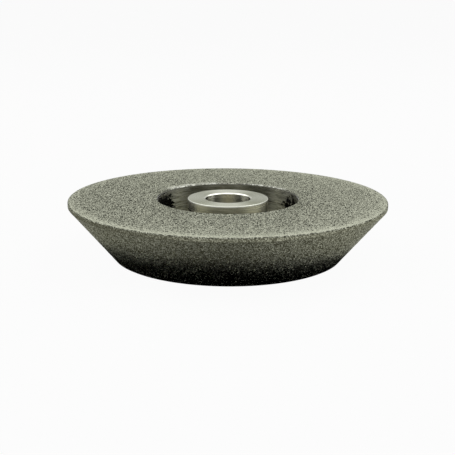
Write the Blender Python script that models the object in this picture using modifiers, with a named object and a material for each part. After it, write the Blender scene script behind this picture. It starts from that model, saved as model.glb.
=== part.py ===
"""A dish-shaped plated grinding wheel, as used on small drill-bit grinders, lying on its back face.

Two pieces, both turned about the spindle axis:
    steel_body     the steel wheel, with a deep recess in its face, a hub standing in it and a plain bore
    abrasive_coat  the grit, held in plated nickel, over the flat face, the rim and the sloping flank

Metres, +Z up. The origin is the centre of the back face, on the spindle axis, and +Z points
out of the grinding face.
"""

import math

import bpy

# The outside, measured over the grit
WHEEL_RADIUS = 0.0350
FACE_HEIGHT = 0.0127
RIM_HEIGHT = 0.0009
FLANK_ANGLE = math.radians(50.0)

# The grit: how thick it is, how it sits on the steel, the steel's rounded edge that it follows at the rim,
# and the strip that it leaves bare above the back face
COAT_THICKNESS = 0.00015
BOND_GAP = 0.00002
STEEL_EDGE_ROUND = 0.00003
BARE_FOOT = 0.0002

# The recess round the hub, with a chamfer on the steel at its mouth
RECESS_RADIUS = 0.01555
RECESS_DEPTH = 0.0080
RECESS_FILLET = 0.0006
MOUTH_CHAMFER = 0.00010

# The hub, whose top lies just below the grinding face, and its bore
HUB_RADIUS = 0.00885
HUB_DROP = 0.00005
HUB_CHAMFER = 0.00012
BORE_RADIUS = 0.0050
BORE_CHAMFER = 0.00025

# Finish: linear colours, roughness and metallic values
STEEL_COLOUR = (0.56, 0.56, 0.52)
STEEL_ROUGHNESS = 0.30
STEEL_METALLIC = 1.0
GRIT_COLOUR = (0.27, 0.275, 0.22)
GRIT_ROUGHNESS = 0.60
GRIT_METALLIC = 0.45

# How finely the turned shapes are cut into flats
TURN_STEPS = 96
ROUND_STEPS = 4
WELD = 0.00001
SHARP_ANGLE = math.radians(28.0)

# Places that several features share
STEEL_INSET = COAT_THICKNESS + BOND_GAP
STEEL_FACE_HEIGHT = FACE_HEIGHT - STEEL_INSET
FLOOR_HEIGHT = FACE_HEIGHT - RECESS_DEPTH
HUB_HEIGHT = FACE_HEIGHT - HUB_DROP
MOUTH_RADIUS = RECESS_RADIUS + MOUTH_CHAMFER


def clear_scene():
    for obj in list(bpy.data.objects):
        bpy.data.objects.remove(obj)


def new_collection(name):
    collection = bpy.data.collections.new(name)
    bpy.context.scene.collection.children.link(collection)
    return collection


def new_material(name, colour, roughness, metallic):
    material = bpy.data.materials.new(name)
    material.use_nodes = True
    shader = material.node_tree.nodes["Principled BSDF"]
    shader.inputs["Base Color"].default_value = (*colour, 1.0)
    shader.inputs["Roughness"].default_value = roughness
    shader.inputs["Metallic"].default_value = metallic
    material.diffuse_color = (*colour, 1.0)
    return material


def arc(centre, radius, start_degrees, end_degrees):
    """Points of a round corner in the section, where 0 degrees points away from the axis and 90 up."""
    points = []
    for step in range(ROUND_STEPS + 1):
        angle = math.radians(start_degrees + (end_degrees - start_degrees) * step / ROUND_STEPS)
        points.append((centre[0] + radius * math.cos(angle), centre[1] + radius * math.sin(angle)))
    return points


def flank_radius(height, inset):
    """The flank's radius at a height, on a surface that lies inset below the grit."""
    above_rim_foot = height - (FACE_HEIGHT - RIM_HEIGHT)
    return WHEEL_RADIUS + (above_rim_foot * math.cos(FLANK_ANGLE) - inset) / math.sin(FLANK_ANGLE)


def rim_to_foot(inset, foot_height):
    """The rim's lower edge and the flank's foot, on a surface that lies inset below the grit."""
    edge_rise = inset * (1 - math.sin(FLANK_ANGLE)) / math.cos(FLANK_ANGLE)
    return [
        (WHEEL_RADIUS - inset, FACE_HEIGHT - RIM_HEIGHT + edge_rise),
        (flank_radius(foot_height, inset), foot_height),
    ]


def rim_round(inset):
    """The round from the rim up to the face, on a surface that lies inset below the grit."""
    centre = (WHEEL_RADIUS - STEEL_INSET - STEEL_EDGE_ROUND, STEEL_FACE_HEIGHT - STEEL_EDGE_ROUND)
    return arc(centre, STEEL_EDGE_ROUND + STEEL_INSET - inset, 0, 90)


def body_section():
    """The steel's section: out over the face, down the flank, in along the back, up the bore, round the recess."""
    fillet_height = FLOOR_HEIGHT + RECESS_FILLET
    return [
        (MOUTH_RADIUS, STEEL_FACE_HEIGHT),
        *reversed(rim_round(STEEL_INSET)),
        *rim_to_foot(STEEL_INSET, 0.0),
        (BORE_RADIUS + BORE_CHAMFER, 0.0),
        (BORE_RADIUS, BORE_CHAMFER),
        (BORE_RADIUS, HUB_HEIGHT - BORE_CHAMFER),
        (BORE_RADIUS + BORE_CHAMFER, HUB_HEIGHT),
        (HUB_RADIUS - HUB_CHAMFER, HUB_HEIGHT),
        (HUB_RADIUS, HUB_HEIGHT - HUB_CHAMFER),
        *arc((HUB_RADIUS + RECESS_FILLET, fillet_height), RECESS_FILLET, 180, 270),
        *arc((RECESS_RADIUS - RECESS_FILLET, fillet_height), RECESS_FILLET, 270, 360),
        (RECESS_RADIUS, STEEL_FACE_HEIGHT - MOUTH_CHAMFER),
    ]


def coat_section():
    """The grit's section: over its round lip and outer surface, and back up where it is plated to the steel."""
    plated_edge, plated_foot = rim_to_foot(COAT_THICKNESS, BARE_FOOT)
    lip_centre = (MOUTH_RADIUS + COAT_THICKNESS, FACE_HEIGHT - COAT_THICKNESS)
    return [
        *arc(lip_centre, COAT_THICKNESS, 180, 90),
        *reversed(rim_round(0.0)),
        *rim_to_foot(0.0, BARE_FOOT),
        plated_foot,
        plated_edge,
        *rim_round(COAT_THICKNESS),
    ]


def turned(name, section, material, collection):
    """A closed section in the X-Z plane, spun a full turn about Z, as one mesh object."""
    count = len(section)
    outline = bpy.data.meshes.new(name + "_section")
    outline.from_pydata(
        [(radius, 0.0, height) for radius, height in section],
        [(index, (index + 1) % count) for index in range(count)],
        [],
    )
    blank = bpy.data.objects.new(name + "_blank", outline)
    collection.objects.link(blank)

    spin = blank.modifiers.new("Spin", "SCREW")
    spin.axis = "Z"
    spin.angle = math.tau
    spin.steps = TURN_STEPS
    spin.render_steps = TURN_STEPS
    spin.use_merge_vertices = True
    spin.merge_threshold = WELD

    bpy.context.view_layer.update()
    graph = bpy.context.evaluated_depsgraph_get()
    mesh = bpy.data.meshes.new_from_object(blank.evaluated_get(graph))
    mesh.name = name
    bpy.data.objects.remove(blank)
    bpy.data.meshes.remove(outline)

    mesh.shade_smooth()
    mesh.set_sharp_from_angle(angle=SHARP_ANGLE)
    mesh.materials.clear()
    mesh.materials.append(material)
    obj = bpy.data.objects.new(name, mesh)
    collection.objects.link(obj)
    return obj


def main():
    clear_scene()
    wheel = new_collection("grinding_wheel")
    steel = new_material("turned_steel", STEEL_COLOUR, STEEL_ROUGHNESS, STEEL_METALLIC)
    grit = new_material("plated_grit", GRIT_COLOUR, GRIT_ROUGHNESS, GRIT_METALLIC)
    turned("steel_body", body_section(), steel, wheel)
    turned("abrasive_coat", coat_section(), grit, wheel)


main()
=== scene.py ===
"""The looks of a dish-shaped plated grinding wheel, lying on its back face under three softboxes."""

import math
import random
from collections import namedtuple

import bmesh
import bpy
from mathutils import Euler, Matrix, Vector, noise


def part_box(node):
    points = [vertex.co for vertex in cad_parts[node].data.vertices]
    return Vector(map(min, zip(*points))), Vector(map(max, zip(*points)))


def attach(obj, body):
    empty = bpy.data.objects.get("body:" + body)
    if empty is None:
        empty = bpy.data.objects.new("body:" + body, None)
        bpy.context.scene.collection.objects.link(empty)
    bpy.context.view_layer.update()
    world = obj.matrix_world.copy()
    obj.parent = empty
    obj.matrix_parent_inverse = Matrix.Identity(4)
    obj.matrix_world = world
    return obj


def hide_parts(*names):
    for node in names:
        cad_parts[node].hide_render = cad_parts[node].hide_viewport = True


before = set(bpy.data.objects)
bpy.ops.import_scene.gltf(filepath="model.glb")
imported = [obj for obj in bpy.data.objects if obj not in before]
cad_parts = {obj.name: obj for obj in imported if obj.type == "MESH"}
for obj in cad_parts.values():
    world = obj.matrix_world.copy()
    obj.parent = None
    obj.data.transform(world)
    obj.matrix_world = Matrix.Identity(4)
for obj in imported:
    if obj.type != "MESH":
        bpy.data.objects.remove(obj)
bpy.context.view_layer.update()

# Sizes that the solids give, in metres
COAT_FOOT, FACE_HEIGHT = (corner.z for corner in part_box("abrasive_coat"))
WHEEL_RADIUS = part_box("abrasive_coat")[1].x
HUB_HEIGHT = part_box("steel_body")[1].z

# Sizes of the outside and of the coat
RIM_HEIGHT = 0.0009
FLANK_ANGLE = math.radians(50.0)
COAT_THICKNESS = 0.00015
BOND_GAP = 0.00002
STEEL_EDGE_ROUND = 0.00003

# Sizes of the recess, the hub and the bore
RECESS_RADIUS = 0.01555
RECESS_DEPTH = 0.0080
RECESS_FILLET = 0.0006
MOUTH_CHAMFER = 0.00010
HUB_RADIUS = 0.00885
HUB_EDGE_ROUND = 0.00012
BORE_RADIUS = 0.0050
BORE_CHAMFER = 0.00025

# Places that several features share
STEEL_INSET = COAT_THICKNESS + BOND_GAP
STEEL_FACE_HEIGHT = FACE_HEIGHT - STEEL_INSET
FLOOR_HEIGHT = FACE_HEIGHT - RECESS_DEPTH
MOUTH_RADIUS = RECESS_RADIUS + MOUTH_CHAMFER
MOUTH_LIP = MOUTH_RADIUS + COAT_THICKNESS

# How finely the turned steel and the round edges are cut
STEEL_STEPS = 256
SHARP_ANGLE = math.radians(28.0)
EDGE_STEPS = 3
HUB_EDGE_STEPS = 5
FILLET_STEPS = 8
WELD = 0.000001

# The grit's relief: the size of a grain, how deep the bond lies between grains, how steeply a grain rises
# and how low the lowest one stands, the relief's share at a corner, how far from it the relief is full, and
# its share on the flank
GRAIN = 0.00030
GRAIN_DEPTH = 0.00006
GRAIN_STEEPNESS = 2.5
GRAIN_LOWEST = 0.25
CORNER_RELIEF = 0.05
CORNER_CALM = 0.00140
FLANK_CALM = 0.75

# The mesh that holds the relief: its rows, its steps round the axis and how far its points slide at random
GRIT_SPACING = 0.00036
GRIT_STEPS = 840
GRIT_SLIDE = 0.00007
GRIT_SEED = 7
GRAIN_SHUFFLE = 7.3

# The camera, as the photo was taken
CAMERA_SIDE = -0.00005
CAMERA_DISTANCE = 0.2090
CAMERA_HEIGHT = 0.05855
CAMERA_PITCH = math.radians(14.15)
CAMERA_ROLL = math.radians(0.354)
LENS = 76.60
SENSOR = 36.0

# The light: softboxes to the left, to the right and overhead, each with its direction about the wheel and
# its rise in degrees, its width and height in metres and its power in watts, and a white studio that adds
# little
SOFTBOXES = {
    "left softbox": (168.0, 52.0, 0.70, 0.36, 0.75),
    "right softbox": (12.0, 52.0, 0.70, 0.36, 0.95),
    "top softbox": (-90.0, 78.0, 0.30, 0.34, 0.30),
}
SOFTBOX_DISTANCE = 0.55
SKY_SEEN = 1.0
SKY_DIFFUSE = 0.15

# The floor: its size, its own colour, how far it is lifted to white where it is seen, and the distance in
# millimetres over which the level that metal mirrors, a painted shadow round the wheel, is laid out
FLOOR_RADIUS = 20.0
FLOOR_SIDES = 64
FLOOR_COLOUR = 0.85
FLOOR_LIFT = 0.95
FLOOR_SHADE = 100.0

# The finishes are laid out in millimetres. Each grain has a shade from 0, dark, to 1, pale, and it turns
# from dull to bright between two of these shades
MM = 1000.0
GRAINS_PER_MM = 6.8
BRIGHT_FROM = 0.58
BRIGHT_BY = 0.67
WHITE = (1.0, 1.0, 1.0)
BLACK = (0.0, 0.0, 0.0)

Place = namedtuple("Place", "vector x y z radius")


def mm(*lengths):
    """A sum of lengths in metres, as millimetres."""
    return sum(lengths) * MM


class Wire:
    """One output of a shader node, which takes Python's arithmetic."""

    def __init__(self, shader, socket):
        self.shader = shader
        self.socket = socket

    def math(self, operation, *values):
        sockets = dict(enumerate(values))
        return self.shader.node("ShaderNodeMath", {"operation": operation}, sockets)["Value"]

    def __add__(self, other):
        return self.math("ADD", self, other)

    def __radd__(self, other):
        return self.math("ADD", other, self)

    def __sub__(self, other):
        return self.math("SUBTRACT", self, other)

    def __rsub__(self, other):
        return self.math("SUBTRACT", other, self)

    def __mul__(self, other):
        return self.math("MULTIPLY", self, other)

    def __rmul__(self, other):
        return self.math("MULTIPLY", other, self)

    def __truediv__(self, other):
        return self.math("DIVIDE", self, other)

    def __pow__(self, other):
        return self.math("POWER", self, other)

    def __abs__(self):
        return self.math("ABSOLUTE", self)


class Shader:
    """The nodes of one material or of the world."""

    def __init__(self, tree):
        self.tree = tree
        tree.nodes.clear()

    def node(self, kind, settings, sockets):
        """A new node with its settings, then its sockets' values or links, as its outputs by name."""
        made = self.tree.nodes.new(kind)
        for name, value in settings.items():
            if name == "stops":
                self.set_stops(made.color_ramp, value)
            else:
                setattr(made, name, value)
        for name, value in sockets.items():
            if isinstance(value, Wire):
                self.tree.links.new(value.socket, made.inputs[name])
            else:
                made.inputs[name].default_value = value
        return {socket.name: Wire(self, socket) for socket in made.outputs if socket.enabled}

    def set_stops(self, ramp, stops):
        while len(ramp.elements) < len(stops):
            ramp.elements.new(1.0)
        for element, (place, colour) in zip(ramp.elements, stops):
            element.position = place
            element.color = (*colour, 1.0)

    def ramp(self, value, stops):
        """A colour that follows a value from 0 to 1 through its stops."""
        return self.node("ShaderNodeValToRGB", {"stops": stops}, {"Fac": value})["Color"]

    def mix(self, share, first, second):
        """Two colours mixed, by a share from 0, all first, to 1, all second."""
        sockets = {0: share, 6: colour_value(first), 7: colour_value(second)}
        return self.node("ShaderNodeMix", {"data_type": "RGBA"}, sockets)["Result"]

    def spread(self, value, low, high, to_low=0.0, to_high=1.0):
        """A value that runs from low to high, brought to another range and held within it."""
        sockets = {"Value": value, "From Min": low, "From Max": high, "To Min": to_low, "To Max": to_high}
        return self.node("ShaderNodeMapRange", {"clamp": True}, sockets)["Result"]

    def place(self):
        """The point on the piece in millimetres: a vector, its x, y and z, its distance from the axis."""
        point = self.node("ShaderNodeTexCoord", {}, {})["Object"]
        scaling = {0: point, "Scale": MM}
        scaled = self.node("ShaderNodeVectorMath", {"operation": "SCALE"}, scaling)["Vector"]
        parts = self.node("ShaderNodeSeparateXYZ", {}, {0: scaled})
        x, y, z = parts["X"], parts["Y"], parts["Z"]
        return Place(scaled, x, y, z, (x * x + y * y) ** 0.5)

    def joined(self, x, y, z):
        return self.node("ShaderNodeCombineXYZ", {}, {"X": x, "Y": y, "Z": z})["Vector"]

    def noise(self, vector, scale, detail, roughness):
        sockets = {"Vector": vector, "Scale": scale, "Detail": detail, "Roughness": roughness}
        return self.node("ShaderNodeTexNoise", {}, sockets)["Fac"]

    def bump(self, height, strength, distance):
        sockets = {"Height": height, "Strength": strength, "Distance": distance}
        return self.node("ShaderNodeBump", {}, sockets)["Normal"]

    def metal(self, colour, bare, roughness, normal, fixed):
        """A surface that is bare metal by a share, with the sockets that stay the same given by name."""
        sockets = {"Base Color": colour, "Metallic": bare, "Roughness": roughness, "Normal": normal, **fixed}
        finish = self.node("ShaderNodeBsdfPrincipled", {}, sockets)["BSDF"]
        self.node("ShaderNodeOutputMaterial", {}, {"Surface": finish})


def colour_value(colour):
    """A colour as a socket takes it: a wire stays as it is, and red, green and blue gain an alpha."""
    return colour if isinstance(colour, Wire) else (*colour, 1.0)


def new_material(name):
    material = bpy.data.materials.new(name)
    material.use_nodes = True
    return material, Shader(material.node_tree)


# The steel's finish

def hub_top_colour(shader, east, marks):
    """The hub's top and the back face: a fan of light and shade round the axis, under faint lathe marks."""
    fan = shader.ramp(0.5 + east * 0.5, [
        (0.12, (0.205, 0.217, 0.130)),
        (0.38, (0.49, 0.50, 0.405)),
        (0.62, (0.49, 0.50, 0.405)),
        (0.88, (0.169, 0.180, 0.096)),
    ])
    return shader.mix(shader.spread(marks, 0.35, 0.65, 0.0, 0.12), fan, (0.12, 0.12, 0.10))


def bore_painted_reflections(shader, at, east):
    """The bore's wall in painted reflections: warm in front and behind, bright towards the sides and dark at
    the very sides.
    """
    blots = shader.noise(at.vector, 0.75, 4.0, 0.65)
    return shader.ramp(abs(east + (blots - 0.5) * 0.10), [
        (0.0, (0.62, 0.59, 0.42)),
        (0.20, (0.58, 0.56, 0.41)),
        (0.36, (0.36, 0.355, 0.28)),
        (0.56, (0.36, 0.36, 0.29)),
        (0.70, (0.95, 0.95, 0.84)),
        (0.86, (0.95, 0.95, 0.86)),
        (0.96, (0.08, 0.08, 0.06)),
    ])


def hub_side_painted_light(shader, east, streaks):
    """The hub's side: streaked in front, with painted light making it paler to the left and palest to the
    right.
    """
    streaked = shader.ramp(streaks, [(0.35, (0.30, 0.295, 0.21)), (0.65, (0.44, 0.43, 0.32))])
    paler = shader.mix(shader.spread(east, -0.35, -0.80), streaked, (0.64, 0.63, 0.49))
    lit = shader.spread(east, 0.25, 0.75) * shader.spread(east, 0.97, 0.90)
    return shader.mix(lit, paler, (0.84, 0.83, 0.65))


def recess_wall_painted_shading(shader, east, streaks):
    """The recess's outer wall: dark with painted shade behind the hub, pale with painted light and streaked
    to the left and the right.
    """
    behind = shader.ramp(streaks, [(0.35, (0.20, 0.20, 0.148)), (0.65, (0.38, 0.38, 0.31))])
    behind = shader.mix(shader.spread(abs(east), 0.15, 0.40, 0.0, 0.42), behind, (0.03, 0.03, 0.026))
    sides = shader.ramp(streaks, [(0.34, (0.28, 0.28, 0.22)), (0.62, (0.82, 0.82, 0.70))])
    return shader.mix(shader.spread(abs(east), 0.55, 0.80), behind, sides)


def recess_painted_shade(shader, at):
    """How far the recess is painted black as shade: in blots at its left and right ends, more so lower down.
    """
    left = shader.spread(at.x, -mm(RECESS_RADIUS, -0.0044), -mm(RECESS_RADIUS, -0.0010))
    right = shader.spread(at.x, mm(RECESS_RADIUS, -0.0048), mm(RECESS_RADIUS, -0.0006), 0.0, 0.72)
    blots = shader.noise(shader.joined(at.x * 0.7, at.y * 0.7, at.z * 1.1), 0.9, 4.0, 0.7)
    deep = shader.spread(at.z, mm(FACE_HEIGHT, -0.0005), mm(FACE_HEIGHT, -0.0035), 0.45, 1.25)
    shade_blots = shader.spread((left + right) * deep + blots * 2.2, 1.56, 1.70)
    return shade_blots * shader.spread(at.y, -6.0, -2.0)


def steel_edge_painted_highlight(shader, at, east):
    """The turned edges: a painted highlight, bright on the hub and duller at the bore's sides, and dark at
    the recess's mouth.
    """
    on_hub = shader.spread(at.radius, mm(HUB_RADIUS, 0.0005), mm(HUB_RADIUS, 0.0001))
    bore_edge = shader.spread(at.radius, mm(BORE_RADIUS, 0.0010), mm(BORE_RADIUS, 0.0005))
    bore_ends = bore_edge * shader.spread(abs(east), 0.75, 0.95)
    hub_edge = shader.mix(bore_ends, (0.79, 0.80, 0.715), (0.45, 0.455, 0.39))
    return shader.mix(on_hub, (0.10, 0.10, 0.08), hub_edge)


def turned_steel():
    """Bare steel with lathe marks round the axis, and painted light and shade: a fan on the hub's top,
    reflections in the bore, streaks and painted shade below.
    """
    material, shader = new_material("turned steel")
    at = shader.place()
    east = at.x / at.radius
    north = at.y / at.radius
    along = at.radius + at.z
    marks = shader.noise(shader.joined(along * 6.0, east * 0.6, north * 0.6), 1.0, 3.0, 0.6)
    streaks = shader.noise(shader.joined(at.x * 0.35, at.y * 0.35, at.z * 2.2), 1.0, 4.0, 0.65)

    top = hub_top_colour(shader, east, marks)
    bore = bore_painted_reflections(shader, at, east)
    hub_side = hub_side_painted_light(shader, east, streaks)
    # The recess's outer wall under a nearly black painted shade
    outer_wall = shader.mix(
        recess_painted_shade(shader, at),
        recess_wall_painted_shading(shader, east, streaks),
        (0.002, 0.002, 0.0016),
    )
    outward = shader.spread(at.radius, mm(HUB_RADIUS, RECESS_FILLET), mm(RECESS_RADIUS, -RECESS_FILLET))
    recess = shader.mix(outward, hub_side, outer_wall)
    out_of_bore = shader.spread(at.radius, mm(BORE_RADIUS, 0.0010), mm(HUB_RADIUS, -0.0010))
    walls = shader.mix(out_of_bore, bore, recess)

    above_back = shader.spread(at.z, 0.05, 0.15)
    lower = shader.mix(above_back, top, walls)
    in_edge = shader.spread(at.z, mm(HUB_HEIGHT, -BORE_CHAMFER, -0.0001), mm(HUB_HEIGHT, -BORE_CHAMFER))
    edges = shader.mix(in_edge, lower, steel_edge_painted_highlight(shader, at, east))
    on_top = shader.spread(at.z, mm(HUB_HEIGHT, -0.00002), mm(HUB_HEIGHT, -0.000005))
    colour = shader.mix(on_top, edges, top)

    roughness = shader.spread(marks, 0.3, 0.7, 0.24, 0.36)
    normal = shader.bump(marks, 0.2, 0.00003)
    shader.metal(colour, 1.0, roughness, normal, {"Anisotropic": 0.75, "Anisotropic Rotation": 0.25})
    return material


# The grit's finish

def grain_painted_light(shader, at):
    """How much paler the grains of the face are painted, as painted light: towards its edge, in front and to
    the right, and behind.
    """
    in_front = shader.spread(at.y, 4.0, -14.0) * shader.spread(at.x, -22.0, -4.0, 0.5, 1.0)
    lit_front_right = shader.spread(in_front + shader.spread(at.x, 8.0, 24.0, 0.0, 0.5), 0.0, 1.0)
    outward = shader.spread(at.radius, mm(MOUTH_RADIUS, 0.0012), mm(WHEEL_RADIUS))
    edge = shader.spread(at.radius, mm(WHEEL_RADIUS, -0.0040), mm(WHEEL_RADIUS, -0.0002)) ** 2
    # A painted highlight along the face's front edge
    edge_highlight = edge * shader.spread(at.y, -8.0, -26.0, 0.16, 0.45)
    gain = 0.096 + outward * 0.02 + outward * outward * lit_front_right * 0.145 + edge_highlight
    gain = gain - shader.spread(at.x, -4.0, -22.0, 0.0, 0.02)
    return gain + shader.spread(at.y, -4.0, 22.0, 0.0, 0.055)


def grain_colour(shader, at, shade, face, rim):
    """The grains' colour: calmer behind on the face and on the rim, warmer up the flank, with painted shade
    on the rim, darkest at the left.
    """
    grains = shader.ramp(shade, [
        (0.0, (0.004, 0.0041, 0.0030)),
        (BRIGHT_FROM, (0.025, 0.0255, 0.0195)),
        (BRIGHT_BY, (0.76, 0.775, 0.625)),
        (1.0, (0.93, 0.95, 0.79)),
    ])
    grains = shader.mix(face * 0.37, grains, BLACK)
    broad = shader.noise(at.vector, 0.35, 3.0, 0.6)
    calmer = shader.spread(broad, 0.35, 0.65, 0.0, 0.15) + shader.spread(at.y, -6.0, 28.0, 0.0, 0.16) * face
    calmer = calmer + shader.spread(at.z, 6.0, 9.0, 0.0, 0.20) * (1.0 - face) + rim * 0.30
    mottled = shader.mix(calmer, grains, (0.29, 0.298, 0.228))
    warmer = (1.0 - face) * shader.spread(at.z, 2.5, 7.5, 0.0, 0.11)
    mottled = shader.mix(warmer, mottled, (0.29, 0.25, 0.06))
    below_edge = shader.spread(at.z, mm(FACE_HEIGHT, -0.0011), mm(FACE_HEIGHT, -0.0009))
    # Painted shade over the rim, deepest towards the left
    shaded = shader.spread(at.x, -4.0, -18.0, 0.25, 0.62) * below_edge * (1.0 - face)
    return shader.mix(shaded, mottled, (0.045, 0.043, 0.025))


def lip_painted_highlight(shader, at, beyond):
    """How far the lip behind the hub carries a painted highlight: a ragged bright line, broadest to the
    left.
    """
    raggedness = shader.noise(at.vector, 1.6, 4.0, 0.7)
    teeth = shader.noise(at.vector, 0.45, 2.0, 0.5) + (shader.noise(at.vector, 2.6, 2.0, 0.6) - 0.5) * 1.2
    broader = shader.spread(at.x, -1.5, -4.5, 0.0, 0.9)
    lip_highlight = shader.spread(beyond - broader + (raggedness - 0.5) * 5.0, 0.80, 0.50)
    lip_highlight = lip_highlight * shader.spread(teeth, 0.36, 0.50, 0.10, 1.0)
    kept = shader.spread(abs(at.x) / at.radius, 0.86, 0.78) * shader.spread(at.y, 0.0, 1.0)
    return lip_highlight * kept * shader.spread(abs(at.x - 1.0), 2.0, 4.0, 0.12, 0.97)


def notched_lip(shader, at, beyond):
    """How far the same lip is broken by small dark notches."""
    notches = shader.noise(at.vector, 2.0, 3.0, 0.7)
    notched = shader.spread(notches - beyond * 0.16, 0.50, 0.54) * shader.spread(beyond, 0.75, 0.55)
    return notched * shader.spread(at.y, 3.0, 6.0) * 0.75


def shaded_lip_ends(shader, at, beyond, tone):
    """How far the grains by the lip are painted dark as shade, at the recess's left and right ends."""
    ends = shader.spread(abs(at.x) / at.radius, 0.86, 0.93)
    patches = shader.noise(at.vector, 2.2, 4.0, 0.7)
    end_shade = shader.spread(patches * 5.0 - beyond * 1.4, 2.35, 2.55) * ends
    return end_shade * shader.spread(beyond, 0.9, 0.7) * shader.spread(tone, 0.40, 0.50) * 0.92


def plated_grit():
    """Abrasive grains in plated nickel: dull greenish grey, each grain with its own tone and gloss."""
    material, shader = new_material("plated grit")
    at = shader.place()
    cells = {"Vector": at.vector, "Scale": GRAINS_PER_MM}
    grain = shader.node("ShaderNodeTexVoronoi", {"feature": "F1"}, cells)
    tone = shader.node("ShaderNodeSeparateColor", {}, {"Color": grain["Color"]})
    face = shader.spread(at.z, mm(FACE_HEIGHT, -0.0003), mm(FACE_HEIGHT, -0.00012))
    rim = shader.spread(at.radius, mm(WHEEL_RADIUS, -0.00026), mm(WHEEL_RADIUS, -0.00014))
    # The face's grains are made paler by painted light
    shade = tone["Red"] + grain_painted_light(shader, at) * face * (1.0 - rim)
    beyond_lip = at.radius - mm(MOUTH_LIP)
    # The lip behind the hub gets a painted highlight, pale and bare
    lip_highlight = lip_painted_highlight(shader, at, beyond_lip)
    colour = shader.mix(lip_highlight, grain_colour(shader, at, shade, face, rim), (0.64, 0.65, 0.585))
    colour = shader.mix(notched_lip(shader, at, beyond_lip), colour, (0.03, 0.03, 0.024))
    # Painted shade on the grains at the lip's left and right ends
    colour = shader.mix(shaded_lip_ends(shader, at, beyond_lip, tone["Blue"]), colour, (0.010, 0.010, 0.008))

    dull = face + shader.spread(at.z, 4.0, 8.0, 0.0, 0.55) * (1.0 - face)
    bright = shader.spread(shade, BRIGHT_FROM, BRIGHT_BY)
    bare = 1.0 - (1.0 - bright) * dull * (1.0 - lip_highlight)
    glints = shader.spread(tone["Green"], 0.94, 0.95) * shader.spread(at.z, 1.5, 5.0, 0.14, 0.48)
    roughness = shader.spread(tone["Green"], 0.0, 1.0, 0.24, 0.55) + (glints - 0.07) * (1.0 - face)
    relief = shader.noise(at.vector, 9.0, 3.0, 0.6) * (1.6 - face * 0.6)
    normal = shader.bump(relief, 0.55, 0.00005)
    shine = {"Specular Tint": (0.70, 0.71, 0.63, 1.0), "Specular IOR Level": 0.0}
    shader.metal(colour, bare, roughness, normal, shine)
    return material


# Shapes

def arc(centre, radius, start_degrees, end_degrees, steps):
    """Points of a round corner in a section, where 0 degrees points away from the axis and 90 up."""
    points = []
    for step in range(steps + 1):
        angle = math.radians(start_degrees + (end_degrees - start_degrees) * step / steps)
        points.append((centre[0] + radius * math.cos(angle), centre[1] + radius * math.sin(angle)))
    return points


def flank_radius(height, inset):
    """The flank's radius at a height, on a surface that lies inset below the grit."""
    above_rim_foot = height - (FACE_HEIGHT - RIM_HEIGHT)
    return WHEEL_RADIUS + (above_rim_foot * math.cos(FLANK_ANGLE) - inset) / math.sin(FLANK_ANGLE)


def rim_to_foot(inset, foot_height):
    """The rim's lower edge and the flank's foot, on a surface that lies inset below the grit."""
    edge_rise = inset * (1 - math.sin(FLANK_ANGLE)) / math.cos(FLANK_ANGLE)
    return [
        (WHEEL_RADIUS - inset, FACE_HEIGHT - RIM_HEIGHT + edge_rise),
        (flank_radius(foot_height, inset), foot_height),
    ]


def rim_round(inset, start_degrees, end_degrees):
    """The round between the face, at 90 degrees, and the rim, on a surface inset below the grit."""
    centre = (WHEEL_RADIUS - STEEL_INSET - STEEL_EDGE_ROUND, STEEL_FACE_HEIGHT - STEEL_EDGE_ROUND)
    return arc(centre, STEEL_EDGE_ROUND + STEEL_INSET - inset, start_degrees, end_degrees, EDGE_STEPS)


def spaced(points, spacing):
    """The same open path with points added, so that none of its steps is longer than a spacing."""
    path = [points[0]]
    for start, end in zip(points, points[1:]):
        count = max(1, math.ceil(math.dist(start, end) / spacing))
        for step in range(1, count + 1):
            share = step / count
            path.append((start[0] + (end[0] - start[0]) * share, start[1] + (end[1] - start[1]) * share))
    return path


def spun(section, steps):
    """A bmesh of a closed section in the X-Z plane, spun a full turn about Z."""
    bm = bmesh.new()
    corners = [bm.verts.new((radius, 0.0, height)) for radius, height in section]
    sides = [bm.edges.new(pair) for pair in zip(corners, corners[1:] + corners[:1])]
    bmesh.ops.spin(
        bm,
        geom=corners + sides,
        cent=(0.0, 0.0, 0.0),
        axis=(0.0, 0.0, 1.0),
        dvec=(0.0, 0.0, 0.0),
        angle=math.tau,
        steps=steps,
        use_merge=True,
    )
    bmesh.ops.remove_doubles(bm, verts=bm.verts, dist=WELD)
    bmesh.ops.recalc_face_normals(bm, faces=bm.faces)
    return bm


def finished(bm, name, material):
    """The bmesh as a named object at the origin."""
    mesh = bpy.data.meshes.new(name)
    bm.to_mesh(mesh)
    bm.free()
    mesh.materials.append(material)
    piece = bpy.data.objects.new(name, mesh)
    bpy.context.scene.collection.objects.link(piece)
    return piece


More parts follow.
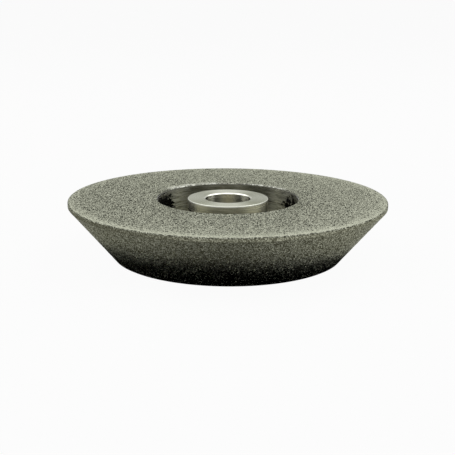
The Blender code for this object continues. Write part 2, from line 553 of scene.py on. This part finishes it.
def steel_wheel():
    """The turned wheel in one piece: dish, recess, hub and bore."""
    fillet_height = FLOOR_HEIGHT + RECESS_FILLET
    hub_edge_centre = (HUB_RADIUS - HUB_EDGE_ROUND, HUB_HEIGHT - HUB_EDGE_ROUND)
    section = [
        (MOUTH_RADIUS, STEEL_FACE_HEIGHT),
        *rim_round(STEEL_INSET, 90, 0),
        *rim_to_foot(STEEL_INSET, 0.0),
        (BORE_RADIUS + BORE_CHAMFER, 0.0),
        (BORE_RADIUS, BORE_CHAMFER),
        (BORE_RADIUS, HUB_HEIGHT - BORE_CHAMFER),
        (BORE_RADIUS + BORE_CHAMFER, HUB_HEIGHT),
        *arc(hub_edge_centre, HUB_EDGE_ROUND, 90, 0, HUB_EDGE_STEPS),
        *arc((HUB_RADIUS + RECESS_FILLET, fillet_height), RECESS_FILLET, 180, 270, FILLET_STEPS),
        *arc((RECESS_RADIUS - RECESS_FILLET, fillet_height), RECESS_FILLET, 270, 360, FILLET_STEPS),
        (RECESS_RADIUS, STEEL_FACE_HEIGHT - MOUTH_CHAMFER),
    ]
    piece = finished(spun(section, STEEL_STEPS), "turned_wheel", turned_steel())
    piece.data.shade_smooth()
    piece.data.set_sharp_from_angle(angle=SHARP_ANGLE)
    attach(piece, "root")
    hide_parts("steel_body")


def smooth_skin():
    """The coat as a dense closed skin of even thickness, not yet grained."""
    plated_edge, plated_foot = rim_to_foot(COAT_THICKNESS, COAT_FOOT)
    outer = [
        *arc((MOUTH_LIP, FACE_HEIGHT - COAT_THICKNESS), COAT_THICKNESS, 180, 90, EDGE_STEPS),
        *rim_round(0.0, 90, 0),
        *rim_to_foot(0.0, COAT_FOOT),
    ]
    inner = [
        plated_foot,
        plated_edge,
        *rim_round(COAT_THICKNESS, 0, 90),
    ]
    return spun(spaced(outer, GRIT_SPACING) + inner, GRIT_STEPS)


def push_in_grains(bm):
    """Slide the skin's outer points at random and push them in between the grains, less near a corner."""
    corners = [(MOUTH_RADIUS, FACE_HEIGHT), (WHEEL_RADIUS, FACE_HEIGHT), *rim_to_foot(0.0, COAT_FOOT)]
    rng = random.Random(GRIT_SEED)
    moves = []
    bm.normal_update()
    for vert in bm.verts:
        radius = math.hypot(vert.co.x, vert.co.y)
        on_face = vert.co.z > FACE_HEIGHT - COAT_THICKNESS / 2
        on_flank = radius > min(flank_radius(vert.co.z, 0.0), WHEEL_RADIUS) - COAT_THICKNESS / 2
        if not (on_face or on_flank):
            continue
        from_corner = min(math.dist(corner, (radius, vert.co.z)) for corner in corners)
        relief = CORNER_RELIEF + (1.0 - CORNER_RELIEF) * min(1.0, from_corner / CORNER_CALM) ** 2
        if not on_face:
            relief *= FLANK_CALM
        distances, centres = noise.voronoi(vert.co / GRAIN)
        height = GRAIN_LOWEST + (1.0 - GRAIN_LOWEST) * noise.cell(centres[0] * GRAIN_SHUFFLE)
        proud = height * min(1.0, (distances[1] - distances[0]) * GRAIN_STEEPNESS)
        slide = Vector(rng.uniform(-1, 1) for axis in range(3)) * GRIT_SLIDE * relief
        slide -= vert.normal * slide.dot(vert.normal)
        moves.append((vert, slide - vert.normal * (1.0 - proud) * GRAIN_DEPTH * relief))
    for vert, move in moves:
        vert.co += move
        vert.co.z = min(vert.co.z, FACE_HEIGHT)


def grit_skin():
    """The plated grit, left in flat facets."""
    bm = smooth_skin()
    push_in_grains(bm)
    bmesh.ops.triangulate(bm, faces=bm.faces, quad_method="SHORT_EDGE")
    piece = finished(bm, "plated_grit_skin", plated_grit())
    piece.data.shade_flat()
    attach(piece, "root")
    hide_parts("abrasive_coat")


# Surroundings

def mirrored_floor(shader):
    """The floor's level where metal mirrors it: in shade by the wheel, brighter away and to the sides."""
    at = shader.place()
    east = shader.spread(at.x, 0.0, 30.0)
    west = shader.spread(at.x, 0.0, -30.0)
    away = at.radius + east * 2.7 + west * 0.8
    # A painted shadow by the wheel and painted light to the sides, seen only where metal mirrors the floor
    level = shader.ramp(away / FLOOR_SHADE, [
        (0.310, BLACK),
        (0.331, (0.335, 0.335, 0.335)),
        (0.40, (0.385, 0.385, 0.385)),
        (0.90, (0.86, 0.86, 0.86)),
    ])
    return shader.spread(level * (1.0 + east * 0.62 + west * 0.34), 0.0, 1.0)


def pale_floor():
    """A pale floor, seen nearly white with a little of the wheel's shadow, and mirrored with a painted
    shadow round the wheel.
    """
    bm = bmesh.new()
    bmesh.ops.create_circle(bm, cap_ends=True, radius=FLOOR_RADIUS, segments=FLOOR_SIDES)
    material, shader = new_material("pale floor")
    ray = shader.node("ShaderNodeLightPath", {}, {})
    mirrored = ray["Is Glossy Ray"] + ray["Is Transmission Ray"]
    seen = ray["Is Camera Ray"] * FLOOR_LIFT + mirrored
    level = shader.mix(mirrored, WHITE, mirrored_floor(shader))
    pale = colour_value((FLOOR_COLOUR, FLOOR_COLOUR, FLOOR_COLOUR))
    matt = shader.node("ShaderNodeBsdfDiffuse", {}, {"Color": pale})
    white = shader.node("ShaderNodeEmission", {}, {"Color": level})
    both = shader.node("ShaderNodeMixShader", {}, {0: seen, 1: matt["BSDF"], 2: white["Emission"]})
    shader.node("ShaderNodeOutputMaterial", {}, {"Surface": both["Shader"]})
    finished(bm, "floor", material)


def soft_sky():
    """A plain world: white where it is seen or mirrored, and dimmer as light."""
    world = bpy.data.worlds.new("studio")
    bpy.context.scene.world = world
    world.use_nodes = True
    shader = Shader(world.node_tree)
    ray = shader.node("ShaderNodeLightPath", {}, {})
    seen = ray["Is Camera Ray"] + ray["Is Glossy Ray"] + ray["Is Transmission Ray"]
    strength = shader.spread(seen, 0.0, 1.0, SKY_DIFFUSE, SKY_SEEN)
    sky = shader.node("ShaderNodeBackground", {}, {"Color": colour_value(WHITE), "Strength": strength})
    shader.node("ShaderNodeOutputWorld", {}, {"Surface": sky["Background"]})


def softbox(name, azimuth, rise, width, height, power):
    """A softbox that faces the wheel, from a direction about it and a rise above the floor, in degrees."""
    lamp = bpy.data.lights.new(name, "AREA")
    lamp.shape = "RECTANGLE"
    lamp.size = width
    lamp.size_y = height
    lamp.energy = power
    level = math.cos(math.radians(rise))
    turn = math.radians(azimuth)
    toward = Vector((math.cos(turn) * level, math.sin(turn) * level, math.sin(math.radians(rise))))
    holder = bpy.data.objects.new(name, lamp)
    holder.location = toward * SOFTBOX_DISTANCE
    holder.rotation_euler = toward.to_track_quat("Z", "Y").to_euler()
    bpy.context.scene.collection.objects.link(holder)


def photo_camera():
    """The camera, aimed level and then pitched down and rolled a little."""
    camera = bpy.data.cameras.new("photo camera")
    camera.lens = LENS
    camera.sensor_width = SENSOR
    camera.clip_end = FLOOR_RADIUS * 4
    holder = bpy.data.objects.new("photo camera", camera)
    holder.location = (CAMERA_SIDE, -CAMERA_DISTANCE, CAMERA_HEIGHT)
    tilt = Euler((math.pi / 2 - CAMERA_PITCH, 0.0, 0.0)).to_matrix()
    roll = Euler((0.0, 0.0, CAMERA_ROLL)).to_matrix()
    holder.rotation_euler = (tilt @ roll).to_euler()
    bpy.context.scene.collection.objects.link(holder)
    bpy.context.scene.camera = holder


steel_wheel()
grit_skin()
pale_floor()
soft_sky()
for name, (azimuth, rise, width, height, power) in SOFTBOXES.items():
    softbox(name, azimuth, rise, width, height, power)
photo_camera()
bpy.context.scene.view_settings.view_transform = "Standard"
